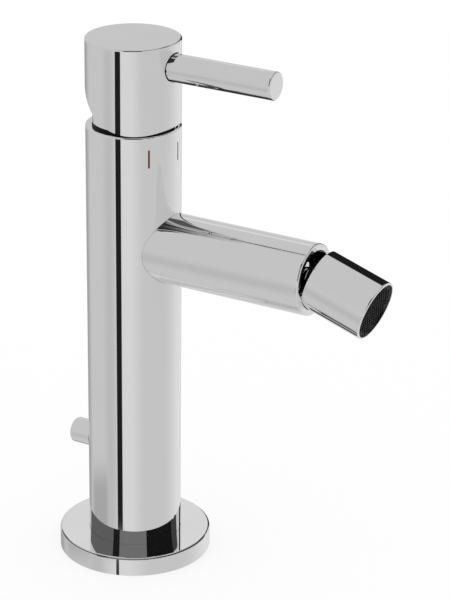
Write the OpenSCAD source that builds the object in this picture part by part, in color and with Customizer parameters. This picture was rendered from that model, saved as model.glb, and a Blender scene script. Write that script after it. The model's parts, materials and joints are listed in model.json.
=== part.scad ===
// Single-lever bidet mixer with a swivelling ball nozzle and a rear waste knob.
// The spout and the lever point along +X and +Z is up.
// The origin is the centre of the base underside, where the fixing stud enters.

/* [Column] */
// Outer diameter of the column and of the handle cap
column_d = 34; // [32:0.5:38]
// Wall of the column tube
column_wall = 2.3; // [1.9:0.1:2.6]
// Height of the column rim above the deck
column_top = 164.8; // [160:0.2:180]
// Rounding of the visible turned edges
edge_round = 0.7; // [0.2:0.1:1]
// Width of the red and blue marks
mark_w = 0.7; // [0.4:0.1:1.2]
// Height of the red and blue marks
mark_h = 6.6; // [4:0.2:9]
// Depth of the engraving of the marks
mark_depth = 0.45; // [0.3:0.05:0.8]
// Distance of the enamel below the column face
mark_sink = 0.05; // [0.02:0.01:0.1]
// Distance from the top of the marks to the column rim
mark_drop = 4.7; // [3:0.1:9]
// Angle of the red mark about the column axis
hot_angle = -39.5; // [-60:0.5:-20]
// Angle of the blue mark about the column axis
cold_angle = 7.5; // [5:0.5:40]

/* [Base] */
// Diameter of the base flange
flange_d = 55.8; // [52:0.2:66]
// Thickness of the base flange
flange_h = 7.1; // [5.5:0.1:10]
// Thickness of the ledge that carries the column
flange_ledge = 2; // [1.5:0.1:3]
// Mean diameter of the deck gasket
gasket_d = 46; // [44:0.5:47]
// Width of the deck gasket
gasket_w = 4; // [2:0.2:5]
// Thickness of the deck gasket
gasket_h = 2; // [1.2:0.1:3]
// Height of the base block
block_h = 14; // [13:0.5:18]
// Tapping diameter of the fixing stud hole
stud_hole_d = 6.8; // [5:0.1:7]
// Depth of the fixing stud hole
stud_hole_l = 10; // [8:0.5:10]
// Tapping diameter of the two hose inlets
inlet_d = 6.9; // [6:0.1:7]
// Depth of the two hose inlets
inlet_l = 9; // [6:0.5:10]

/* [Water ways] */
// Distance of the risers behind the column axis
riser_back = 4; // [3.6:0.1:4.4]
// Distance of each riser from the middle plane
riser_side = 7.2; // [7:0.1:7.6]
// Outer diameter of the riser tubes
riser_d = 8; // [7:0.1:8.2]
// Wall of the riser tubes
riser_wall = 1; // [0.7:0.1:1.4]
// Depth of the riser seats in the base block
riser_low_seat = 3.5; // [3:0.1:3.8]
// Depth of the riser seats in the valve core
riser_high_seat = 8; // [5:0.5:10]
// Section of the riser sealing rings
riser_ring_d = 1.4; // [1:0.1:1.6]
// Metal of the valve core below the spout seat
core_foot = 6; // [5:0.5:12]
// Height of the valve core cup round the cartridge
cup_h = 16; // [12:0.5:18]
// Bore of the mixed water passage in the valve core
mixed_bore_d = 9; // [6:0.5:9]

/* [Spout] */
// Outer diameter of the spout tube
spout_d = 25.5; // [22:0.1:26]
// Wall of the spout tube
spout_wall = 2.2; // [1.5:0.1:2.4]
// Height of the spout axis above the deck
spout_z = 121; // [100:0.1:122]
// Distance from the column axis to the spout rim
spout_reach = 73.7; // [60:0.1:110]
// Distance from the column axis to the inner end of the spout tube
spout_root = 6; // [5:0.1:6.4]

/* [Ball joint] */
// Diameter of the ball
ball_d = 14; // [13:0.1:14.4]
// Distance of the ball centre outside the spout rim
ball_out = 3.7; // [3.7:0.1:6]
// Diameter of the stem that carries the ball
ball_stem_d = 8; // [7:0.1:8.6]
// Water bore through the ball
ball_bore_d = 5.2; // [3:0.1:5.4]
// Diameter of the collar on the ball stem
collar_d = 11; // [10:0.1:12]
// Thickness of the collar on the ball stem
collar_h = 2.5; // [1.5:0.1:2.8]
// Thickness of the ball liner
liner_wall = 0.9; // [0.6:0.05:1]
// Half width of the ball liner
liner_half = 3.8; // [3:0.1:4]
// Length of the threaded insert in the spout end
insert_l = 8; // [6:0.5:14]
// Depth of the recess in front of the insert
insert_recess = 6.6; // [6.2:0.1:10]
// Section of the sealing ring round the insert
insert_ring_d = 1.4; // [1:0.1:1.8]

/* [Nozzle] */
// Outer diameter of the nozzle
nozzle_d = 21.8; // [21.2:0.1:21.9]
// Length of the nozzle in front of the ball centre
nozzle_l = 21; // [20:0.1:30]
// Angle of the nozzle below the spout axis
nozzle_tilt = 18; // [10:0.5:18]
// Wall of the nozzle round the ball socket
nozzle_wall = 1.65; // [1.2:0.05:1.7]
// Wall of the nozzle lip round the aerator
lip_wall = 0.7; // [0.5:0.05:1]
// Depth of the ball socket inside the nozzle
socket_depth = 11; // [9.5:0.1:12]
// Bore of the ball socket
socket_bore_d = 8; // [5:0.2:8.4]
// Bore of the nozzle between the socket and the aerator
throat_d = 15; // [12:0.2:16]
// Length of the retaining ring inside the nozzle
ring_in = 3; // [2:0.1:4]
// Length of the retaining ring behind the nozzle
ring_out = 2.8; // [2:0.1:2.9]
// Step of the retaining ring below the nozzle bore
ring_step = 0.3; // [0.1:0.05:0.5]
// Distance of the grille behind the nozzle lip
grille_recess = 0.6; // [0.2:0.1:1.2]
// Thickness of the aerator grille
grille_h = 2.2; // [1.5:0.1:3]
// Width of the solid border of the grille
grille_border = 0.9; // [0.6:0.1:1.5]
// Distance between the cells of the grille
cell_pitch = 1.6; // [1.4:0.1:2.2]
// Wall between the cells of the grille
cell_wall = 0.36; // [0.25:0.01:0.5]
// Thickness of the jet plate behind the grille
jet_plate_h = 1.8; // [1.2:0.1:2.5]
// Diameter of the jets in the plate
jet_d = 1.2; // [0.8:0.1:2]
// Thickness of the aerator gasket
aerator_gasket_h = 1.5; // [1:0.1:2]

/* [Handle] */
// Height of the handle cap
cap_h = 31; // [30:0.1:36]
// Gap between the cap and the column rim
cap_gap = 0.45; // [0.35:0.05:0.8]
// Radius of the rounded underside of the cap
relief_r = 26.4; // [22:0.2:28]
// Largest lift of the handle
lift_max = 25; // [15:1:25]
// Height of the lift pivot above the column rim
pivot_rise = 0.5; // [0.3:0.1:1]
// Wall of the dome under the cap
dome_wall = 1.5; // [1:0.1:2]
// Length of the dome skirt inside the column
dome_skirt = 2.1; // [1.8:0.1:3]
// Gap between the dome and the cap
dome_gap = 0.45; // [0.35:0.05:0.7]
// Height of the dome foot band above the column rim
band_rise = 1.2; // [0.8:0.1:2]
// Thickness of the dome foot band
band_wall = 0.6; // [0.4:0.1:0.8]
// Diameter of the lever rod
lever_d = 10; // [8:0.1:12]
// Distance from the column axis to the lever tip
lever_reach = 57.1; // [40:0.1:90]
// Distance of the lever axis below the top of the cap
lever_drop = 8.5; // [7.5:0.1:9.5]
// Distance from the column axis to the seat of the lever
lever_seat = 11; // [9:0.1:13]
// Width of the groove in the cap round the lever
lever_groove = 0.35; // [0.2:0.05:0.6]
// Depth of the groove in the cap round the lever
lever_groove_l = 1.8; // [1.4:0.1:2.5]
// Diameter of the threaded end of the lever
lever_thread_d = 6; // [5:0.1:7]
// Distance from the column axis to the inner end of the lever
lever_root = 5.2; // [5:0.1:6]
// Diameter of the cartridge stem
stem_d = 7; // [6:0.1:7.2]
// Metal of the cap above the stem
stem_roof = 6.4; // [4:0.1:8]
// Diameter of the grub screw
grub_d = 4; // [3:0.1:5]
// Length of the grub screw
grub_l = 7; // [5:0.1:9]
// Distance of the grub screw below the top of the cap
grub_drop = 11.4; // [9.5:0.1:12]

/* [Cartridge] */
// Outer diameter of the cartridge
cartridge_d = 25; // [24:0.1:25.4]
// Wall of the cartridge housing
housing_wall = 1.2; // [1:0.1:1.5]
// Thickness of the housing roof
housing_roof = 2.2; // [1.5:0.1:3]
// Height of the cartridge nut
nut_h = 3.8; // [3:0.1:5]
// Opening of the cartridge nut
nut_bore_d = 19; // [17.5:0.1:20]
// Width of the spanner slots in the nut
nut_slot_w = 3; // [2:0.1:4]
// Depth of the spanner slots in the nut
nut_slot_h = 1.6; // [1:0.1:2]
// Diameter of the rotor neck
neck_d = 16; // [15.4:0.1:16.6]
// Height of the rotor neck above the lift pivot
neck_rise = 4.5; // [3.5:0.1:5.5]
// Diameter of the rotor flange
rotor_flange_d = 21.6; // [20:0.1:21.8]
// Thickness of the rotor flange
rotor_flange_h = 2.6; // [2.4:0.1:3.2]
// Diameter of the pivot pin
pin_d = 3; // [2.5:0.1:3.2]
// Length of the pivot pin
pin_l = 14.6; // [12:0.1:15]
// Diameter of the stem arm below the pivot
arm_d = 3.2; // [2.6:0.1:3.4]
// Length of the thick part of the stem below the pivot
stem_shoulder = 3.5; // [3:0.1:4]
// Diameter of the ball tip of the stem
tip_d = 4; // [3.6:0.1:4.4]
// Depth of the tip centre in the disc carrier
tip_depth = 0.8; // [0.6:0.1:1]
// Depth of the tip pocket in the disc carrier
pocket_depth = 3; // [2.9:0.1:3.2]
// Thickness of the disc carrier
carrier_h = 3.5; // [3.3:0.1:5]
// Width of the two carrier ribs
rib_w = 1.5; // [1:0.1:1.8]
// Height of the two carrier ribs
rib_h = 1.7; // [1.2:0.1:1.9]
// Length of the two carrier ribs
rib_l = 6; // [4:0.2:7]
// Distance of the ribs from the middle plane
rib_side = 5.75; // [5.6:0.05:6]
// Diameter of the moving disc and its carrier
moving_disc_d = 15.6; // [14.6:0.1:16]
// Thickness of the moving disc
moving_disc_h = 2.8; // [2.2:0.1:3.5]
// Diameter of the mixing recess under the moving disc
recess_d = 9.8; // [8:0.1:10]
// Depth of the mixing recess
recess_h = 1.4; // [0.8:0.1:1.8]
// Distance of the mixing recess behind the disc centre
recess_back = 2.1; // [1.6:0.1:2.3]
// Thickness of the fixed disc
fixed_disc_h = 3; // [2:0.1:4]
// Thickness of the cartridge base
cartridge_base_h = 4; // [3:0.1:5]
// Distance of the inlet ports in front of the axis
inlet_port_x = 2.5; // [2.3:0.1:3]
// Distance of the inlet ports from the middle plane
inlet_port_y = 3.8; // [3.5:0.1:4.2]
// Diameter of the inlet ports
inlet_port_d = 4; // [3:0.1:4.2]
// Distance of the mixed port behind the axis
mixed_port_x = 4; // [3.6:0.1:4.4]
// Diameter of the mixed port
mixed_port_d = 5; // [4:0.1:5.2]
// Thickness of the port seals
port_seal_h = 1.2; // [0.8:0.1:1.6]
// Radial width of the port seals
port_seal_w = 0.9; // [0.7:0.1:1]

/* [Waste knob] */
// Diameter of the knob
knob_d = 9.4; // [8:0.1:12]
// Height of the knob above the deck
knob_z = 39.9; // [34:0.1:48]
// Distance from the column axis to the end of the knob
knob_reach = 26; // [22:0.1:36]
// Rounding of the knob end
knob_round = 1; // [0.4:0.1:2]
// Diameter of the neck of the knob
knob_neck_d = 6; // [5:0.1:6.4]
// Diameter of the threaded end of the knob
knob_thread_d = 5; // [4:0.1:5.2]
// Gap between the knob and the column
knob_gap = 0.5; // [0.3:0.1:1]
// Upward travel of the knob
pull_travel = 18; // [12:0.5:20]
// Distance of the lift rod axis from the column bore
rod_inset = 4.7; // [4.5:0.1:5]
// Diameter of the lift rod
rod_d = 5; // [4:0.1:5.2]
// Height of the lower end of the lift rod
rod_low = 1; // [0.5:0.1:2]
// Tapping diameter of the socket in the lift rod
rod_socket_d = 3.3; // [2.5:0.1:3.4]
// Depth of the socket in the lift rod
rod_socket_l = 8; // [5:0.5:12]
// Diameter of the guide round the lift rod
guide_d = 8; // [7.4:0.1:8.4]
// Gap between the guide and the slider
guide_gap = 4; // [2:0.5:6]
// Height of the slider
slider_h = 9; // [8:0.2:12]
// Width of the slider
slider_w = 6.4; // [6:0.1:6.6]
// Metal of the slider in front of the lift rod axis
slider_front = 2.8; // [2.6:0.1:3]

/* [Fits] */
// Radial clearance of pieces that are screwed or slid together
slip = 0.05; // [0.02:0.01:0.1]
// Radial clearance of round running fits
run = 0.05; // [0.02:0.01:0.1]
// Clearance of sliding flat faces
slide_gap = 0.15; // [0.1:0.05:0.2]
// Axial play of the rotor and the disc carrier
end_play = 0.25; // [0.2:0.05:0.3]
// Radial clearance on both sides of the ball liner
ball_gap = 0.15; // [0.1:0.01:0.2]
// Clearance of the stem tip in its pocket
tip_gap = 0.3; // [0.25:0.05:0.35]
// Clearance of the knob neck in its slot
neck_gap = 0.25; // [0.2:0.05:0.4]
// Clearance of the slider behind the column wall
slider_gap = 0.8; // [0.6:0.1:1]
// Clearance of the sealing rings in their grooves
groove_gap = 0.05; // [0.03:0.01:0.08]

/* [Hidden] */
$fn = 96;
eps = 1;
column_r = column_d / 2;
bore_r = column_r - column_wall;
core_r = bore_r - slip;
spout_r = spout_d / 2;
spout_bore_r = spout_r - spout_wall;
riser_r = riser_d / 2;
riser_bore_r = riser_r - riser_wall;
rod_r = rod_d / 2;
rod_back = bore_r - rod_inset;

// Handle and dome
cap_bottom = column_top + cap_gap;
cap_top = cap_bottom + cap_h;
pivot_z = column_top + pivot_rise;
dome_r = bore_r - slip;
cavity_r = dome_r + dome_gap;
band_top = column_top + band_rise;
band_bore_r = dome_r - band_wall;
relief_x = relief_r - column_r;
relief_z = cap_bottom + relief_r;
lever_z = cap_top - lever_drop;
stem_r = stem_d / 2;
stem_top = cap_top - stem_roof;
grub_z = cap_top - grub_drop;

// Cartridge, stacked down from the column rim
nut_top = column_top - dome_skirt;
housing_top = nut_top - nut_h;
rotor_top = housing_top - housing_roof - end_play;
rotor_low = rotor_top - rotor_flange_h;
carrier_top = rotor_low - end_play;
carrier_low = carrier_top - carrier_h;
moving_low = carrier_low - moving_disc_h;
fixed_low = moving_low - fixed_disc_h;
cartridge_low = fixed_low - cartridge_base_h;
cartridge_r = cartridge_d / 2;
housing_bore_r = cartridge_r - housing_wall;
neck_r = neck_d / 2;
tip_z = carrier_top - tip_depth;
arm_l = pivot_z - tip_z;
disc_travel = arm_l * sin(lift_max);
disc_x = -disc_travel / 2;
slot_half = stem_r + slide_gap;

// Valve core and its passages
core_low = spout_z - spout_r - core_foot;
mixed_bore_r = mixed_bore_d / 2;
drill_z = spout_z + mixed_bore_r + slide_gap + riser_bore_r;

// Ball joint and nozzle
ball_x = spout_reach + ball_out;
ball_r = ball_d / 2;
liner_in = ball_r + ball_gap;
liner_out = liner_in + liner_wall;
socket_cavity_r = liner_out + ball_gap;
insert_front = spout_reach - insert_recess;
insert_back = insert_front - insert_l;
nozzle_r = nozzle_d / 2;
socket_r = nozzle_r - nozzle_wall - slip;
aerator_r = nozzle_r - lip_wall - slip;
grille_low = nozzle_l - grille_recess - grille_h;
jet_plate_low = grille_low - jet_plate_h;
aerator_low = jet_plate_low - aerator_gasket_h;
cell_r = (cell_pitch - cell_wall) / sqrt(3);
cell_row = cell_pitch * sqrt(3) / 2;
cell_count = ceil(aerator_r / cell_row) + 1;

// Waste knob
knob_seat = column_r + knob_gap;
slider_back = bore_r - slider_gap;
slider_low = knob_z - slider_h / 2;
guide_top = slider_low - guide_gap;

CHROME = [0.78, 0.79, 0.8];
BRASS = [0.78, 0.63, 0.33];
COPPER = [0.75, 0.46, 0.32];
STEEL = [0.6, 0.61, 0.63];
RUBBER = [0.1, 0.1, 0.1];
BLACK = [0.06, 0.06, 0.06];
WHITE = [0.92, 0.92, 0.9];
GREY = [0.45, 0.47, 0.5];
CERAMIC = [0.95, 0.94, 0.9];

// Helpers

// Round bar along the column axis between two heights
module z_bar(r, low, high) {
    translate([0, 0, low]) cylinder(r = r, h = high - low);
}

// Round bar parallel to the spout between two distances from the column axis
module x_bar(r, from, to, z) {
    translate([from, 0, z]) rotate([0, 90, 0]) cylinder(r = r, h = to - from);
}

// Round bar across the middle plane
module y_bar(r, l, x, z) {
    translate([x, l / 2, z]) rotate([90, 0, 0]) cylinder(r = r, h = l);
}

// Flat ring along the column axis
module z_ring(r_out, r_in, low, high) {
    difference() {
        z_bar(r_out, low, high);
        z_bar(r_in, low - eps, high + eps);
    }
}

// Round bar between two points
module bar_between(a, b, r) {
    d = b - a;
    turn = [0, acos(d.z / norm(d)), atan2(d.y, d.x)];
    translate(a) rotate(turn) cylinder(r = r, h = norm(d));
}

// Round bar from the origin upward, with a rounded top edge
module rounded_bar(r, h, e) {
    rotate_extrude() {
        square([r - e, h]);
        square([r, h - e]);
        translate([r - e, h - e]) circle(e);
    }
}

// Round section ring in the plane z = 0
module sealing_ring(mean_r, section_d) {
    rotate_extrude() translate([mean_r, 0]) circle(d = section_d);
}

// Frame of the nozzle: the ball centre, with +Z along the jet
module at_nozzle() {
    translate([ball_x, 0, spout_z]) rotate([0, 90 + nozzle_tilt, 0]) children();
}

// Axes of the two risers, the hot one at the user's left
module at_riser(side) {
    translate([-riser_back, side * riser_side, 0]) children();
}

// Centres of the riser sealing rings
riser_ring_low = block_h - riser_low_seat / 2;
riser_ring_high = core_low + riser_high_seat / 3;
riser_ring_r = riser_r + groove_gap + riser_ring_d / 2;

// Seat of one riser end, with the groove for its sealing ring
module riser_seat(low, high, ring_z) {
    groove_half = riser_ring_d / 2 + groove_gap;
    z_bar(riser_r + slip, low, high);
    z_bar(riser_ring_r + groove_half, ring_z - groove_half, ring_z + groove_half);
}

// Upright bar under the column face at the given angle, of the given depth
module mark_bar(angle, depth) {
    rotate([0, 0, angle])
        translate([column_r - mark_depth, -mark_w / 2, column_top - mark_drop - mark_h])
            cube([depth, mark_w, mark_h]);
}

// Column and base

module column_tube() {
    color(CHROME) difference() {
        translate([0, 0, flange_ledge]) rounded_bar(column_r, column_top - flange_ledge, edge_round);
        z_bar(bore_r, flange_ledge - eps, column_top + eps);
        x_bar(spout_r + slip, 0, column_r + eps, spout_z);
        knob_slot();
        mark_bar(hot_angle, mark_depth + eps);
        mark_bar(cold_angle, mark_depth + eps);
    }
}

// Upright slot behind the column for the neck of the knob
module knob_slot() {
    half = knob_neck_d / 2 + neck_gap;
    for (z = [knob_z, knob_z + pull_travel]) x_bar(half, -column_r - eps, -bore_r / 2, z);
    translate([-column_r - eps, -half, knob_z])
        cube([column_r + eps - bore_r / 2, 2 * half, pull_travel]);
}

module hot_mark() {
    color("firebrick") mark_bar(hot_angle, mark_depth - mark_sink);
}

module cold_mark() {
    color("royalblue") mark_bar(cold_angle, mark_depth - mark_sink);
}

module base_flange() {
    color(CHROME) difference() {
        rounded_bar(flange_d / 2, flange_h, edge_round);
        z_bar(bore_r, -eps, flange_h + eps);
        z_bar(column_r + slip, flange_ledge, flange_h + eps);
        z_ring((gasket_d + gasket_w) / 2, (gasket_d - gasket_w) / 2, -eps, gasket_h);
    }
}

module base_gasket() {
    color(RUBBER)
        z_ring((gasket_d + gasket_w) / 2 - groove_gap, (gasket_d - gasket_w) / 2 + groove_gap, 0, gasket_h);
}

module base_block() {
    color(BRASS) difference() {
        union() {
            z_bar(core_r, 0, block_h);
            translate([-rod_back, 0, 0]) z_bar(guide_d / 2, 0, guide_top);
        }
        z_bar(stud_hole_d / 2, -eps, stud_hole_l);
        translate([-rod_back, 0, 0]) z_bar(rod_r + run, -eps, guide_top + eps);
        for (side = [-1, 1]) at_riser(side) {
            z_bar(inlet_d / 2, -eps, inlet_l);
            z_bar(riser_bore_r, 0, block_h);
            riser_seat(block_h - riser_low_seat, block_h + eps, riser_ring_low);
        }
    }
}

module riser_tube(side) {
    at_riser(side) z_ring(riser_r, riser_bore_r, block_h - riser_low_seat, core_low + riser_high_seat);
}

module hot_riser_tube() {
    color(COPPER) riser_tube(-1);
}

module cold_riser_tube() {
    color(COPPER) riser_tube(1);
}

module riser_sealing_rings() {
    color(RUBBER) for (side = [-1, 1], z = [riser_ring_low, riser_ring_high])
        at_riser(side) translate([0, 0, z]) sealing_ring(riser_ring_r, riser_ring_d);
}

// Brass core that holds the cartridge, the risers and the spout tube
module valve_core() {
    mixed_at = [-mixed_port_x, 0, 0];
    color(BRASS) difference() {
        z_bar(core_r, core_low, cartridge_low + cup_h);
        z_bar(cartridge_r + slip, cartridge_low, cartridge_low + cup_h + eps);
        x_bar(spout_r + slip, spout_root, column_r, spout_z);
        x_bar(mixed_bore_r, -mixed_port_x, spout_root + eps, spout_z);
        translate(mixed_at) z_bar(mixed_port_d / 2, spout_z, cartridge_low + eps);
        for (side = [-1, 1]) {
            at_riser(side) {
                riser_seat(core_low - eps, core_low + riser_high_seat, riser_ring_high);
                z_bar(riser_bore_r, core_low, drill_z);
            }
            inlet_drilling(side);
        }
    }
}

// Slanted drilling from the top of one riser to its cartridge port
module inlet_drilling(side) {
    foot = [-riser_back, side * riser_side, drill_z - riser_bore_r];
    head = [inlet_port_x, side * inlet_port_y, cartridge_low];
    bar_between(foot, head + (head - foot) / norm(head - foot), inlet_port_d / 2);
}

// Spout and ball joint

module spout_tube() {
    color(CHROME) difference() {
        translate([spout_root, 0, spout_z]) rotate([0, 90, 0])
            rounded_bar(spout_r, spout_reach - spout_root, edge_round);
        x_bar(spout_bore_r, spout_root - eps, spout_reach + eps, spout_z);
    }
}

insert_ring_x = insert_back + insert_l / 2;
insert_ring_r = spout_bore_r - groove_gap - insert_ring_d / 2;

module spout_insert() {
    groove_half = insert_ring_d / 2 + groove_gap;
    color(CHROME) difference() {
        x_bar(spout_bore_r - slip, insert_back, insert_front, spout_z);
        x_bar(ball_stem_d / 2 + slip, insert_back - eps, insert_front + eps, spout_z);
        difference() {
            x_bar(spout_bore_r + eps, insert_ring_x - groove_half, insert_ring_x + groove_half, spout_z);
            x_bar(insert_ring_r - groove_half, insert_back, insert_front, spout_z);
        }
    }
}

module insert_sealing_ring() {
    color(RUBBER) translate([insert_ring_x, 0, spout_z]) rotate([0, 90, 0])
        sealing_ring(insert_ring_r, insert_ring_d);
}

module ball_stud() {
    color(CHROME) difference() {
        union() {
            translate([ball_x, 0, spout_z]) sphere(ball_r);
            x_bar(ball_stem_d / 2, insert_back, ball_x, spout_z);
            x_bar(collar_d / 2, insert_front, insert_front + collar_h, spout_z);
        }
        x_bar(ball_bore_d / 2, insert_back - eps, ball_x + ball_r + eps, spout_z);
    }
}

// Spherical zone that turns with the nozzle about the spout axis
module ball_liner() {
    color(BLACK) translate([ball_x, 0, spout_z]) intersection() {
        difference() {
            sphere(liner_out);
            sphere(liner_in);
        }
        cube([2 * liner_half, 3 * liner_out, 3 * liner_out], center = true);
    }
}

// Nozzle

module nozzle_shell() {
    color(CHROME) at_nozzle() difference() {
        rounded_bar(nozzle_r, nozzle_l, min(edge_round, lip_wall / 2));
        z_bar(socket_r + slip, -eps, socket_depth);
        z_bar(throat_d / 2, 0, nozzle_l);
        z_bar(aerator_r + slip, aerator_low, nozzle_l + eps);
    }
}

module ball_socket() {
    color(BRASS) at_nozzle() difference() {
        z_bar(socket_r, ring_in, socket_depth);
        sphere(socket_cavity_r);
        z_bar(socket_bore_d / 2, 0, socket_depth + eps);
    }
}

module retaining_ring() {
    color(GREY) at_nozzle() difference() {
        union() {
            z_bar(socket_r, 0, ring_in);
            z_bar(socket_r - ring_step, -ring_out, ring_in);
        }
        sphere(socket_cavity_r);
    }
}

module aerator_gasket() {
    color(RUBBER) at_nozzle() z_ring(aerator_r, throat_d / 2, aerator_low, jet_plate_low);
}

// Plate with two rows of fine jets
module aerator_jet_plate() {
    color(GREY) at_nozzle() difference() {
        z_bar(aerator_r, jet_plate_low, grille_low);
        for (row = [1, 2], k = [0:6 * row - 1])
            rotate([0, 0, 60 * k / row]) translate([row * throat_d / 6, 0, 0])
                z_bar(jet_d / 2, jet_plate_low - eps, grille_low + eps);
    }
}

// Honeycomb of hexagonal cells inside a plain border
module aerator_grille() {
    open_r = aerator_r - grille_border - cell_r;
    color(BLACK) at_nozzle() translate([0, 0, grille_low]) linear_extrude(grille_h) difference() {
        circle(aerator_r);
        for (row = [-cell_count:cell_count], k = [-cell_count:cell_count]) {
            centre = [row * cell_row, (k + (row % 2 == 0 ? 0 : 0.5)) * cell_pitch];
            if (norm(centre) <= open_r) translate(centre) circle(cell_r, $fn = 6);
        }
    }
}

// Cartridge

// The three ports of the cartridge
module at_ports() {
    for (side = [-1, 1]) translate([inlet_port_x, side * inlet_port_y, 0]) {
        $port_r = inlet_port_d / 2;
        children();
    }
    translate([-mixed_port_x, 0, 0]) {
        $port_r = mixed_port_d / 2;
        children();
    }
}

module cartridge_base() {
    color(GREY) difference() {
        z_bar(cartridge_r, cartridge_low, fixed_low);
        at_ports() {
            z_bar($port_r, cartridge_low - eps, fixed_low + eps);
            z_bar($port_r + port_seal_w + groove_gap, cartridge_low - eps, cartridge_low + port_seal_h);
        }
    }
}

module port_seals() {
    color(RUBBER) at_ports()
        z_ring($port_r + port_seal_w, $port_r, cartridge_low, cartridge_low + port_seal_h);
}

module fixed_ceramic_disc() {
    color(CERAMIC) difference() {
        z_bar(housing_bore_r - slip, fixed_low, moving_low);
        at_ports() z_bar($port_r, fixed_low - eps, moving_low + eps);
    }
}

module moving_ceramic_disc() {
    color(CERAMIC) translate([disc_x, 0, 0]) difference() {
        z_bar(moving_disc_d / 2, moving_low, carrier_low);
        translate([-recess_back, 0, 0]) z_bar(recess_d / 2, moving_low - eps, moving_low + recess_h);
    }
}

// Carrier with two ribs that slide in the rotor and a pocket for the stem tip
module disc_carrier() {
    pocket_half = tip_d / 2 + tip_gap;
    color(GREY) difference() {
        union() {
            translate([disc_x, 0, 0]) z_bar(moving_disc_d / 2, carrier_low, carrier_top);
            for (side = [-1, 1])
                translate([disc_x - rib_l / 2, side * rib_side - rib_w / 2, carrier_low])
                    cube([rib_l, rib_w, carrier_h + rib_h]);
        }
        translate([-pocket_half, -pocket_half, carrier_top - pocket_depth])
            cube([2 * pocket_half, 2 * pocket_half, pocket_depth + eps]);
    }
}

module cartridge_housing() {
    color(WHITE) difference() {
        z_bar(cartridge_r, fixed_low, housing_top);
        z_bar(housing_bore_r, fixed_low - eps, housing_top - housing_roof);
        z_bar(neck_r + run, fixed_low, housing_top + eps);
    }
}

// Rotor with a fork for the stem and two grooves for the carrier ribs
module cartridge_rotor() {
    groove_w = rib_w + 2 * slide_gap;
    color(GREY) difference() {
        union() {
            z_bar(rotor_flange_d / 2, rotor_low, rotor_top);
            z_bar(neck_r, rotor_low, pivot_z + neck_rise);
        }
        translate([-neck_r + pin_d / 2, -slot_half, rotor_low - eps])
            cube([2 * neck_r, 2 * slot_half, pivot_z + neck_rise - rotor_low + 2 * eps]);
        for (side = [-1, 1])
            translate([-rotor_flange_d, side * rib_side - groove_w / 2, rotor_low - eps])
                cube([2 * rotor_flange_d, groove_w, eps + rib_h]);
        y_bar(pin_d / 2 + slip, 2 * neck_d, 0, pivot_z);
    }
}

module pivot_pin() {
    color(STEEL) y_bar(pin_d / 2, pin_l, 0, pivot_z);
}

// Stem that hangs on the pivot pin, with a ball tip in the carrier
module cartridge_stem() {
    color(BRASS) difference() {
        union() {
            z_bar(stem_r, pivot_z - stem_shoulder, stem_top);
            z_bar(arm_d / 2, tip_z, pivot_z);
            translate([0, 0, tip_z]) sphere(tip_d / 2);
        }
        y_bar(pin_d / 2 + run, 2 * stem_d, 0, pivot_z);
    }
}

// Slotted ring that clamps the cartridge in the column
module cartridge_nut() {
    color(BRASS) difference() {
        z_ring(core_r, nut_bore_d / 2, housing_top, nut_top);
        for (turn = [0, 90]) rotate([0, 0, turn])
            translate([-column_r, -nut_slot_w / 2, nut_top - nut_slot_h])
                cube([column_d, nut_slot_w, nut_slot_h + eps]);
    }
}

// Dome round the lift pivot, open at the top for the stem at any lift and turn
module dome_bonnet() {
    mouth_r = dome_r * sin(lift_max) + stem_r + dome_gap;
    color(CHROME) difference() {
        dome_solid();
        z_bar(dome_r - dome_wall, nut_top - eps, pivot_z);
        translate([0, 0, pivot_z]) sphere(dome_r - dome_wall);
        z_bar(mouth_r, pivot_z, pivot_z + dome_r + eps);
        z_ring(dome_r + eps, band_bore_r - slip, nut_top - eps, band_top);
    }
}

// Dark band that wipes the bore of the column at the foot of the dome
module dome_foot_band() {
    color(BLACK) intersection() {
        dome_solid();
        z_ring(dome_r + eps, band_bore_r, nut_top, band_top);
    }
}

// Outside of the dome and of its skirt in the column
module dome_solid() {
    z_bar(dome_r, nut_top, pivot_z);
    dome_half(dome_r);
}

// Upper half of a ball round the lift pivot
module dome_half(r) {
    translate([0, 0, pivot_z]) intersection() {
        sphere(r);
        translate([-2 * r, -2 * r, 0]) cube([4 * r, 4 * r, 2 * r]);
    }
}

// Handle

// What lies under the rounded underside of the cap, which clears the column behind
module cap_relief() {
    difference() {
        translate([-column_r - eps, -column_r - eps, cap_bottom - eps])
            cube([column_d + 2 * eps, column_d + 2 * eps, relief_r + eps]);
        y_bar(relief_r, column_d + 4 * eps, relief_x, relief_z);
    }
}

module handle_cap() {
    color(CHROME) difference() {
        translate([0, 0, cap_bottom]) rounded_bar(column_r, cap_h, edge_round);
        cap_relief();
        z_bar(cavity_r, cap_bottom - eps, pivot_z);
        translate([0, 0, pivot_z]) sphere(cavity_r);
        z_bar(stem_r + slip, pivot_z, stem_top);
        x_bar(lever_d / 2 + slip, lever_seat, column_r + eps, lever_z);
        x_bar(lever_d / 2 + lever_groove, column_r - lever_groove_l, column_r + eps, lever_z);
        x_bar(lever_thread_d / 2 + slip, lever_root, lever_seat + eps, lever_z);
        x_bar(grub_d / 2 + slip, -column_r - eps, 0, grub_z);
    }
}

module lever_rod() {
    color(CHROME) {
        translate([lever_seat, 0, lever_z]) rotate([0, 90, 0])
            rounded_bar(lever_d / 2, lever_reach - lever_seat, edge_round);
        x_bar(lever_thread_d / 2, lever_root, lever_seat, lever_z);
    }
}

// Socket screw that bites on the stem from the back of the cap
module grub_screw() {
    color(STEEL) difference() {
        x_bar(grub_d / 2, -stem_r - grub_l, -stem_r, grub_z);
        translate([-stem_r - grub_l - eps, 0, grub_z]) rotate([0, 90, 0])
            cylinder(d = grub_d / 2, h = eps + grub_l / 3, $fn = 6);
    }
}

// Waste knob

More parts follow.
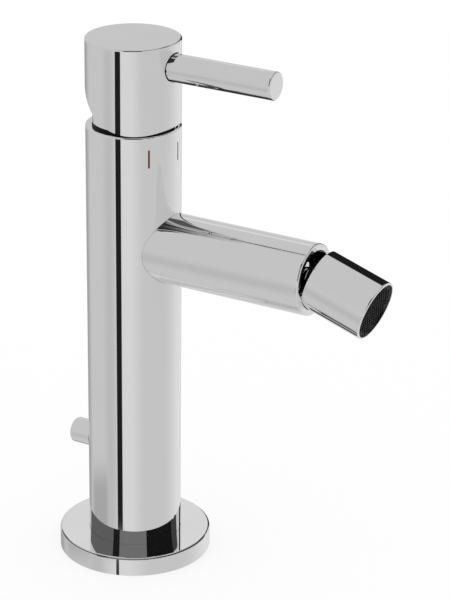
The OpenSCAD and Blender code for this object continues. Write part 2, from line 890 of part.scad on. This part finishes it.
module pull_knob() {
    color(CHROME) {
        translate([-knob_seat, 0, knob_z]) rotate([0, -90, 0])
            rounded_bar(knob_d / 2, knob_reach - knob_seat, knob_round);
        x_bar(knob_neck_d / 2, -knob_seat, -slider_back, knob_z);
        x_bar(knob_thread_d / 2, -slider_back, -rod_back - rod_r, knob_z);
    }
}

module rod_slider() {
    color(BRASS) difference() {
        translate([-slider_back, -slider_w / 2, slider_low])
            cube([slider_back - rod_back + slider_front, slider_w, slider_h]);
        x_bar(knob_thread_d / 2 + slip, -slider_back - eps, -rod_back, knob_z);
        translate([-rod_back, 0, 0]) z_bar(rod_r + slip, slider_low - eps, slider_low + slider_h + eps);
    }
}

module lift_rod() {
    color(STEEL) translate([-rod_back, 0, 0]) difference() {
        z_bar(rod_r, rod_low, slider_low + slider_h);
        z_bar(rod_socket_d / 2, rod_low - eps, rod_low + rod_socket_l);
    }
}

column_tube();
hot_mark();
cold_mark();
base_flange();
base_gasket();
base_block();
hot_riser_tube();
cold_riser_tube();
riser_sealing_rings();
valve_core();
spout_tube();
spout_insert();
insert_sealing_ring();
ball_stud();
ball_liner();
nozzle_shell();
ball_socket();
retaining_ring();
aerator_gasket();
aerator_jet_plate();
aerator_grille();
cartridge_base();
port_seals();
fixed_ceramic_disc();
cartridge_housing();
cartridge_nut();
dome_bonnet();
dome_foot_band();
cartridge_rotor();
pivot_pin();
disc_carrier();
moving_ceramic_disc();
handle_cap();
lever_rod();
cartridge_stem();
grub_screw();
pull_knob();
rod_slider();
lift_rod();
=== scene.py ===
# %% [markdown]
# The mixer comes from the CAD pack as separate nodes, each in its real place. This file dresses it with
# a camera, a studio and finishes, and makes one piece as a mesh: the outer shell of the nozzle, which
# the photograph shows a little longer than the solid. Lengths are in metres, +X runs along the spout
# and +Z up the column.

# %% Load the frame
import json
import math

import bmesh
import bpy
from mathutils import Matrix, Vector


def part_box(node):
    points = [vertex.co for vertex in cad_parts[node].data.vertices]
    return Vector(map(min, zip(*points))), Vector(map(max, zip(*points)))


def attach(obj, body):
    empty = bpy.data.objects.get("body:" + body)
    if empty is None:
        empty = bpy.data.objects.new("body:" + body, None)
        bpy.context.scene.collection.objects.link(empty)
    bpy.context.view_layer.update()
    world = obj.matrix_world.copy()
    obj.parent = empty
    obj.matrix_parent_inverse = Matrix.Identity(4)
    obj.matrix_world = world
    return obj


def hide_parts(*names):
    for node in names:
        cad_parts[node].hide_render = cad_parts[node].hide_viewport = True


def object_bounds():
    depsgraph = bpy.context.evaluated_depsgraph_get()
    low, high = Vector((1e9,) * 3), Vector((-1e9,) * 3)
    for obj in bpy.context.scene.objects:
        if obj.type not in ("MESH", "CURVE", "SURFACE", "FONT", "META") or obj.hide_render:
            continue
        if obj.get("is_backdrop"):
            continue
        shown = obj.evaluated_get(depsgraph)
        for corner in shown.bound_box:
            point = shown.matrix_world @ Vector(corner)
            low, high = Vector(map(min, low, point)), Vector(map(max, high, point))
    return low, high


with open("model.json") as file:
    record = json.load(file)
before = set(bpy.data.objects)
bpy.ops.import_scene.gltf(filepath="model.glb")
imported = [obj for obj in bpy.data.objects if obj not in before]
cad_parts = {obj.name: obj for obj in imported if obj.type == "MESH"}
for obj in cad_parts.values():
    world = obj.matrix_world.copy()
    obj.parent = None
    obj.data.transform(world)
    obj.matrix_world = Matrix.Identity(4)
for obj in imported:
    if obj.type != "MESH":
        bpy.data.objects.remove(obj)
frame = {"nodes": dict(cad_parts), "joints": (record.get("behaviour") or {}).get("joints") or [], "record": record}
cad_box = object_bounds()
nodes = frame["nodes"]
scene = bpy.context.scene
scene.view_settings.view_transform = "Standard"
MM = 0.001
print("nodes", len(nodes), "box", [[round(x, 4) for x in corner] for corner in cad_box])

# %% [markdown]
# The photograph was taken from above and to the left of the spout with a long lens, which keeps the
# upright lines almost parallel. The place and the lens were fitted to edge points of the column,
# the spout, the lever and the flange. The camera leans over by half a degree and needs no shift.

# %% Camera
CAMERA_AT = Vector((0.449967, -0.707465, 0.442255))
CAMERA_BACK = Vector((0.465528, -0.799258, 0.380093)).normalized()
CAMERA_LEAN = math.radians(0.626)
CAMERA_LENS = 150.53
SENSOR_WIDTH = 36

side = Vector((0, 0, 1)).cross(CAMERA_BACK).normalized()
above = CAMERA_BACK.cross(side)
turn = Matrix((side, above, CAMERA_BACK)).transposed().to_4x4() @ Matrix.Rotation(CAMERA_LEAN, 4, "Z")
camera_data = bpy.data.cameras.new("camera")
camera_data.lens = CAMERA_LENS
camera_data.sensor_width = SENSOR_WIDTH
camera = bpy.data.objects.new("camera", camera_data)
camera.matrix_world = Matrix.Translation(CAMERA_AT) @ turn
scene.collection.objects.link(camera)
scene.camera = camera
print("camera", [round(x, 3) for x in CAMERA_AT], "lens", CAMERA_LENS)

# %% [markdown]
# A finish is a small program of shader nodes. Two classes keep it readable: a Sheet adds nodes to
# one material, and a Field wraps a value so that plain Python arithmetic adds the Math nodes.

# %% Shader maths


class Field:
    """A value in a shader that can be used in a formula."""

    def __init__(self, sheet, socket):
        self.sheet = sheet
        self.socket = socket

    def _math(self, operation, first, second):
        node = self.sheet.add("ShaderNodeMath", {"operation": operation}, {0: first, 1: second})
        return Field(self.sheet, node.outputs[0])

    def __add__(self, other):
        return self._math("ADD", self, other)

    __radd__ = __add__

    def __rsub__(self, other):
        return self._math("SUBTRACT", other, self)

    def __mul__(self, other):
        return self._math("MULTIPLY", self, other)

    __rmul__ = __mul__

    def highest(self, other):
        return self._math("MAXIMUM", self, other)

    def rise(self, low, high):
        """0 below low, 1 above high and smooth between."""
        sockets = {"Value": self, "From Min": low, "From Max": high}
        node = self.sheet.add("ShaderNodeMapRange", {"interpolation_type": "SMOOTHSTEP"}, sockets)
        return Field(self.sheet, node.outputs["Result"])

    def between(self, low, high, soft):
        """1 between low and high, with edges that fade over soft."""
        half = soft / 2
        return self.rise(low - half, low + half) * (1 - self.rise(high - half, high + half))


class Sheet:
    """The nodes of one material, or of the world."""

    def __init__(self, owner):
        owner.use_nodes = True
        self.tree = owner.node_tree
        self.tree.nodes.clear()

    def add(self, kind, settings=None, sockets=None):
        """One node: its settings first, then the values or links of its sockets."""
        node = self.tree.nodes.new(kind)
        for name, value in (settings or {}).items():
            setattr(node, name, value)
        for key, value in (sockets or {}).items():
            self.feed(node.inputs[key], value)
        return node

    def field(self, kind, settings=None, sockets=None, out=0):
        return Field(self, self.add(kind, settings, sockets).outputs[out])

    def feed(self, socket, value):
        if isinstance(value, Field):
            self.tree.links.new(value.socket, socket)
        else:
            socket.default_value = value

    def mix(self, share, first, second):
        """A Mix Shader of two shader nodes."""
        blend = self.add("ShaderNodeMixShader", None, {"Fac": share})
        self.tree.links.new(first.outputs[0], blend.inputs[1])
        self.tree.links.new(second.outputs[0], blend.inputs[2])
        return blend

    def end(self, shader, kind="ShaderNodeOutputMaterial"):
        self.tree.links.new(shader.outputs[0], self.add(kind).inputs["Surface"])


def grey(level):
    return (level, level, level, 1)


WHITE = grey(1)
print("shader classes ready")

# %% [markdown]
# Chrome has hardly any colour of its own, so what it shows is the studio. The real one stands in an
# even white room with a few dark cards, which draw the black stripe down the column and the black
# edges of the nozzle. A world that depends only on direction does this and stays put when the camera
# moves. Each card is a soft-edged patch in azimuth and elevation, in degrees.

# %% World
ROOM_LEVEL = 0.6
FILL_LEVEL = 0.93
DEGREES = 180 / math.pi
CARDS = [
    # what it draws, azimuth from, to, its edge, elevation from, to, its edge, darkness
    ("stripe of the column", -102, -88.6, 1, -27.9, -9, 1, 0.98),
    ("stripe of the flange", -87, -82.5, 1, -60, -27.9, 1, 0.95),
    ("front of the flange, beside the column", -82, -37, 6, 8, 40, 6, 0.97),
    ("root of the spout, front", -90, -15, 1, 37, 61.2, 2, 0.95),
    ("root of the spout, top", -15, 80, 6, 41, 58, 5, 0.84),
    ("root of the spout, left", -124, -96.3, 1, 54, 59, 1.5, 0.95),
    ("top of the nozzle", 92, 113, 3, -12, 47, 3, 0.98),
    ("lower edge of the nozzle", 137.5, 151, 1, -50.5, -37, 1, 0.97),
    ("lower edge of the nozzle", 150, 170, 1, -56.5, -44, 1, 0.97),
    ("left edge of the column", 131, 160, 36, -32, -13, 6, 0.42),
    ("shade left of the stripe", -132, -104, 22, -36, -10, 24, 0.12),
    ("lower left of the column", -188, -128, 22, -28.1, -26.3, 1, 0.31),
    ("lower left of the column", 172, 188, 22, -28.1, -26.3, 1, 0.31),
]
GLOWS = [
    # what it lifts, and the same values for soft boxes that add to the room
    ("right of the stripe", -100, -50, 40, -80, 0, 34, 0.12),
    ("right edge of the column", 50, 118, 70, -80, 0, 50, 0.18),
    ("top of the flange", 113, 132, 6, 23, 32, 4, 0.13),
]


def studio_level(sheet):
    """Brightness of the room seen in the chrome, as a function of direction."""
    direction = sheet.field("ShaderNodeTexCoord", out="Generated")
    split = sheet.add("ShaderNodeSeparateXYZ", None, {0: direction})
    x, y, z = [Field(sheet, split.outputs[k]) for k in range(3)]
    azimuth = sheet.field("ShaderNodeMath", {"operation": "ARCTAN2"}, {0: y, 1: x}) * DEGREES
    elevation = sheet.field("ShaderNodeMath", {"operation": "ARCSINE"}, {0: z}) * DEGREES

    def patch(_, left, right, side_edge, bottom, top, level_edge, depth):
        return azimuth.between(left, right, side_edge) * elevation.between(bottom, top, level_edge) * depth

    room = ROOM_LEVEL
    for row in GLOWS:
        room = patch(*row) + room
    dark = patch(*CARDS[0])
    for row in CARDS[1:]:
        dark = dark.highest(patch(*row))
    return (1 - dark) * room


world = bpy.data.worlds.new("studio")
scene.world = world
sheet = Sheet(world)
path = sheet.add("ShaderNodeLightPath")
ray_kinds = ("Is Camera Ray", "Is Glossy Ray", "Is Transmission Ray")
seen, glossy, passed = [Field(sheet, path.outputs[kind]) for kind in ray_kinds]
mirrored = glossy.highest(passed)
level = mirrored * studio_level(sheet) + (1 - mirrored) * FILL_LEVEL
level = seen + (1 - seen) * level
backdrop = sheet.add("ShaderNodeBackground", None, {"Color": WHITE, "Strength": level})
sheet.end(backdrop, "ShaderNodeOutputWorld")
print("cards", len(CARDS), "glows", len(GLOWS))

# %% [markdown]
# The dark bands round the foot of the column are the flange's mirror image of low grey cards in front
# of the mixer, and the dark line under the lever is its mirror image of a card round the column. They
# are flat sectors of a ring, each an edge spun about the column axis. They show from one side only and
# only in reflections, and the high ones only to steep rays, so the column mirrors the open room.

# %% Ring cards
LOW = {"height": 30 * MM, "inner": 40 * MM, "outer": 500 * MM, "faces": -1, "steep": 0.0}
HIGH = {"height": 150 * MM, "inner": 17.3 * MM, "outer": 75 * MM, "faces": 1, "steep": 0.58}
ROOT = {"height": 150 * MM, "inner": 17.3 * MM, "outer": 20.5 * MM, "faces": 1, "steep": 0.58}
STEEP_EDGE = 0.06
RING_STEPS = 48
RING_CARDS = [
    # name, place, azimuth from, azimuth to, brightness
    ("left", LOW, -190, -107, 0.125),
    ("stripe", LOW, -107, -92, 0.012),
    ("middle", LOW, -92, -33, 0.175),
    ("front", LOW, -33, 34, 0.008),
    ("right", LOW, 34, 57, 0.054),
    ("lever_line", HIGH, 0, 180, 0.03),
    ("lever_root", ROOT, -150, 0, 0.06),
]


def ring_mesh(name, place, start, stop):
    """A flat ring sector whose faces look up or down."""
    mesh = bmesh.new()
    heading = Matrix.Rotation(math.radians(start), 3, "Z")
    ends = [mesh.verts.new(heading @ Vector((place[r], 0, place["height"]))) for r in ("inner", "outer")]
    edge = mesh.edges.new(ends)
    bmesh.ops.spin(mesh, geom=[*ends, edge], cent=(0, 0, 0), axis=(0, 0, 1), dvec=(0, 0, 0),
                   angle=math.radians(stop - start), steps=RING_STEPS, use_duplicate=False)
    for face in mesh.faces:
        face.normal_update()
        if face.normal.z * place["faces"] < 0:
            face.normal_flip()
    data = bpy.data.meshes.new(name)
    mesh.to_mesh(data)
    mesh.free()
    return data


def card_paper(name, level, steep):
    """Plain grey from the front and within the steep angle, clear otherwise."""
    paper = bpy.data.materials.new(name)
    sheet = Sheet(paper)
    geometry = sheet.add("ShaderNodeNewGeometry")
    normal, incoming = [Field(sheet, geometry.outputs[k]) for k in ("Normal", "Incoming")]
    dot = {"operation": "DOT_PRODUCT"}
    facing = sheet.field("ShaderNodeVectorMath", dot, {0: normal, 1: incoming}, "Value")
    front = 1 - Field(sheet, geometry.outputs["Backfacing"])
    shown = front * facing.rise(steep - STEEP_EDGE, steep + STEEP_EDGE)
    clear = sheet.add("ShaderNodeBsdfTransparent")
    plain = sheet.add("ShaderNodeEmission", None, {"Color": WHITE, "Strength": level})
    sheet.end(sheet.mix(shown, clear, plain))
    return paper


def ring_card(name, place, start, stop, level):
    """A ring sector in the studio that only mirrors show."""
    data = ring_mesh("card_" + name, place, start, stop)
    data.materials.append(card_paper("card_" + name, level, place["steep"]))
    card = bpy.data.objects.new("card_" + name, data)
    scene.collection.objects.link(card)
    card.visible_camera = False
    card.visible_diffuse = False
    card.visible_shadow = False
    card.visible_transmission = False
    card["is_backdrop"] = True
    return card


ring_cards = [ring_card(*row) for row in RING_CARDS]
print("ring cards", [card.name for card in ring_cards])

# %% [markdown]
# The floor is white to the camera, like the photograph's, and takes only a faint soft shadow: most of
# its light is its own, and a small share is diffuse, which darkens under the flange.

# %% Floor
FLOOR_HALF = 1.5
FLOOR_SHADOW = 0.22
FLOOR_PAINT = 0.95
FLOOR_GLOW = 1.03

mesh = bmesh.new()
bmesh.ops.create_grid(mesh, x_segments=1, y_segments=1, size=FLOOR_HALF)
floor_mesh = bpy.data.meshes.new("floor")
mesh.to_mesh(floor_mesh)
mesh.free()
floor = bpy.data.objects.new("floor", floor_mesh)
scene.collection.objects.link(floor)
floor.visible_glossy = False
paint = bpy.data.materials.new("floor_white")
sheet = Sheet(paint)
matt = sheet.add("ShaderNodeBsdfDiffuse", None, {"Color": grey(FLOOR_PAINT)})
glow = sheet.add("ShaderNodeEmission", None, {"Color": WHITE, "Strength": FLOOR_GLOW})
share = sheet.field("ShaderNodeLightPath", out="Is Camera Ray") * (1 - FLOOR_SHADOW)
sheet.end(sheet.mix(share, matt, glow))
floor.data.materials.append(paint)
floor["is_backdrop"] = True
print("floor", 2 * FLOOR_HALF, "m wide")

# %% [markdown]
# Every finish starts from the same pieces: one Principled shader, object coordinates, and a noise at
# the scale of the real grain. The helper keeps what varies to colour, roughness and bump.

# %% Finish helper
NOISE_DETAIL = 4.0
NOISE_LOW = 0.3
NOISE_HIGH = 0.7
BUMP_STRENGTH = 0.5


def finish(name, colour, other, scale, rough, metallic=0.0, bump=0.0, stretch=(1, 1, 1), specular=0.5):
    """A finish whose colour and roughness drift between two values with a noise."""
    material = bpy.data.materials.new(name)
    sheet = Sheet(material)
    place = sheet.field("ShaderNodeTexCoord", out="Object")
    stretched = sheet.field("ShaderNodeMapping", None, {"Vector": place, "Scale": stretch})
    grain = {"Vector": stretched, "Scale": scale, "Detail": NOISE_DETAIL}
    noise = sheet.field("ShaderNodeTexNoise", None, grain)
    drift = noise.rise(NOISE_LOW, NOISE_HIGH)
    tint = sheet.add("ShaderNodeMix", {"data_type": "RGBA"}, {"Factor": drift})
    colours = [socket for socket in tint.inputs if socket.type == "RGBA"]
    sheet.feed(colours[0], colour)
    sheet.feed(colours[1], other)
    mixed = [socket for socket in tint.outputs if socket.type == "RGBA"][0]
    shader = sheet.add("ShaderNodeBsdfPrincipled", None, {
        "Base Color": Field(sheet, mixed),
        "Roughness": drift * (rough[1] - rough[0]) + rough[0],
        "Metallic": metallic,
        "Specular IOR Level": specular,
    })
    if bump:
        height = {"Strength": BUMP_STRENGTH, "Distance": bump, "Height": noise}
        sheet.feed(shader.inputs["Normal"], sheet.field("ShaderNodeBump", None, height, "Normal"))
    sheet.end(shader)
    return material


print("finish helper ready")

# %% [markdown]
# The finishes, one for each material of the record. Chrome is a mirror that returns nine tenths of the
# light; the hidden metals are turned, drawn or ground, so their noise is stretched.

# %% Finishes
FINE = 1e-5
COARSE = 2e-5
RUBBERY = 3e-5
FINISH_VALUES = {
    # slot: colour, second colour, noise scale, roughness from and to, then what else it has
    "chrome": (grey(0.895), grey(0.915), 40, (0.015, 0.035), {"metallic": 1.0}),
    "brass": ((0.71, 0.53, 0.25, 1), (0.78, 0.61, 0.32, 1), 90, (0.2, 0.34),
              {"metallic": 1.0, "bump": COARSE, "stretch": (1, 1, 12)}),
    "copper": ((0.72, 0.4, 0.26, 1), (0.79, 0.48, 0.33, 1), 60, (0.18, 0.3),
               {"metallic": 1.0, "bump": FINE, "stretch": (12, 12, 1)}),
    "steel": ((0.52, 0.53, 0.55, 1), (0.6, 0.61, 0.62, 1), 120, (0.18, 0.3),
              {"metallic": 1.0, "bump": FINE, "stretch": (1, 8, 8)}),
    "rubber": (grey(0.022), grey(0.035), 500, (0.6, 0.75), {"bump": RUBBERY}),
    "black_plastic": (grey(0.004), (0.008, 0.008, 0.009, 1), 400, (0.35, 0.5),
                      {"bump": COARSE, "specular": 0.06}),
    "grey_plastic": ((0.075, 0.077, 0.08, 1), (0.1, 0.102, 0.105, 1), 300, (0.4, 0.5), {"bump": COARSE}),
    "white_plastic": ((0.8, 0.8, 0.77, 1), (0.86, 0.86, 0.83, 1), 300, (0.35, 0.45), {"bump": COARSE}),
    "ceramic": ((0.86, 0.84, 0.78, 1), (0.9, 0.89, 0.84, 1), 500, (0.12, 0.2), {}),
    "red_enamel": ((0.12, 0.025, 0.025, 1), (0.15, 0.03, 0.03, 1), 300, (0.25, 0.35), {"specular": 0.2}),
    "blue_enamel": ((0.012, 0.03, 0.1, 1), (0.015, 0.035, 0.12, 1), 300, (0.25, 0.35), {"specular": 0.15}),
}
finishes = {}
for slot, (colour, other, scale, rough, rest) in FINISH_VALUES.items():
    finishes[slot] = finish(slot, colour, other, scale, rough, **rest)
for part in frame["record"]["subparts"]:
    materials = nodes[part["node"]].data.materials
    materials.clear()
    materials.append(finishes[part["material_slot"]])
print("finishes", len(finishes))

# %% [markdown]
# The nozzle of the photograph reaches back over its retaining ring into the mouth of the spout, a little
# further than the solid's shell. The real one is turned from bar on a lathe, so here a profile is spun
# about the nozzle axis and the two outer rims are rounded with a bevel. Two rings of points near the
# rims hold the long wall straight, so that it mirrors like a true cylinder.

# %% Nozzle shell
NOZZLE_TILT = math.radians(18)
NOZZLE_BACK = 2.4 * MM
NOZZLE_LENGTH = 21 * MM
NOZZLE_WALL = 1.65 * MM
LIP_WALL = 0.7 * MM
RIM_ROUND = 0.35 * MM
RIM_SEGMENTS = 4
HOLD = 0.6 * MM
SOCKET_DEPTH = 11 * MM
THROAT_R = 7.5 * MM
AERATOR_DEPTH = 6.1 * MM
NOZZLE_STEPS = 160
SHARP_FROM = math.radians(40)
NEAR = 1e-6

ball = Vector(next(joint["pos_m"] for joint in frame["joints"] if joint["name"] == "nozzle_tilt"))
low_corner, high_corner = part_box("nozzle_shell")
nozzle_r = (high_corner.y - low_corner.y) / 2
aerator_z = NOZZLE_LENGTH - AERATOR_DEPTH
profile = [
    (nozzle_r, -NOZZLE_BACK),
    (nozzle_r, HOLD - NOZZLE_BACK),
    (nozzle_r, NOZZLE_LENGTH - HOLD),
    (nozzle_r, NOZZLE_LENGTH),
    (nozzle_r - LIP_WALL, NOZZLE_LENGTH),
    (nozzle_r - LIP_WALL, aerator_z),
    (THROAT_R, aerator_z),
    (THROAT_R, SOCKET_DEPTH),
    (nozzle_r - NOZZLE_WALL, SOCKET_DEPTH),
    (nozzle_r - NOZZLE_WALL, -NOZZLE_BACK),
]


def on_outer_rim(edge):
    """True for the edges round the two outer rims of the shell."""
    levels = [v.co.z for v in edge.verts]
    at_end = max(levels) < NEAR - NOZZLE_BACK or min(levels) > NOZZLE_LENGTH - NEAR
    return at_end and all(v.co.xy.length > nozzle_r - NEAR for v in edge.verts)


mesh = bmesh.new()
corners = [mesh.verts.new((r, 0, z)) for r, z in profile]
outline = [mesh.edges.new(pair) for pair in zip(corners, corners[1:] + corners[:1])]
bmesh.ops.spin(mesh, geom=corners + outline, cent=(0, 0, 0), axis=(0, 0, 1), dvec=(0, 0, 0),
               angle=2 * math.pi, steps=NOZZLE_STEPS, use_merge=True, use_duplicate=False)
bmesh.ops.remove_doubles(mesh, verts=mesh.verts, dist=NEAR)
rims = [edge for edge in mesh.edges if on_outer_rim(edge)]
bmesh.ops.bevel(mesh, geom=rims, offset=RIM_ROUND, offset_type="OFFSET", affect="EDGES",
                segments=RIM_SEGMENTS, profile=0.5, material=-1)
bmesh.ops.recalc_face_normals(mesh, faces=mesh.faces)
mesh.transform(Matrix.Translation(ball) @ Matrix.Rotation(math.pi / 2 + NOZZLE_TILT, 4, "Y"))
for face in mesh.faces:
    face.smooth = True
skin_mesh = bpy.data.meshes.new("nozzle_skin")
mesh.to_mesh(skin_mesh)
mesh.free()
skin_mesh.set_sharp_from_angle(angle=SHARP_FROM)
skin_mesh.materials.append(finishes["chrome"])
skin = bpy.data.objects.new("nozzle_skin", skin_mesh)
scene.collection.objects.link(skin)
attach(skin, "nozzle")
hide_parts("nozzle_shell")
print("nozzle skin", len(skin_mesh.polygons), "faces, radius", round(nozzle_r / MM, 2), "mm")

# %% [markdown]
# The dressed part has to stay the size of the solids, so both boxes are measured and the largest difference
# between them is printed.

# %% Sizes
visual_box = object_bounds()
past = [max(abs(a - b) for a, b in zip(old, new)) for old, new in zip(cad_box, visual_box)]
print("largest change of the box", round(max(past) / MM, 3), "mm")
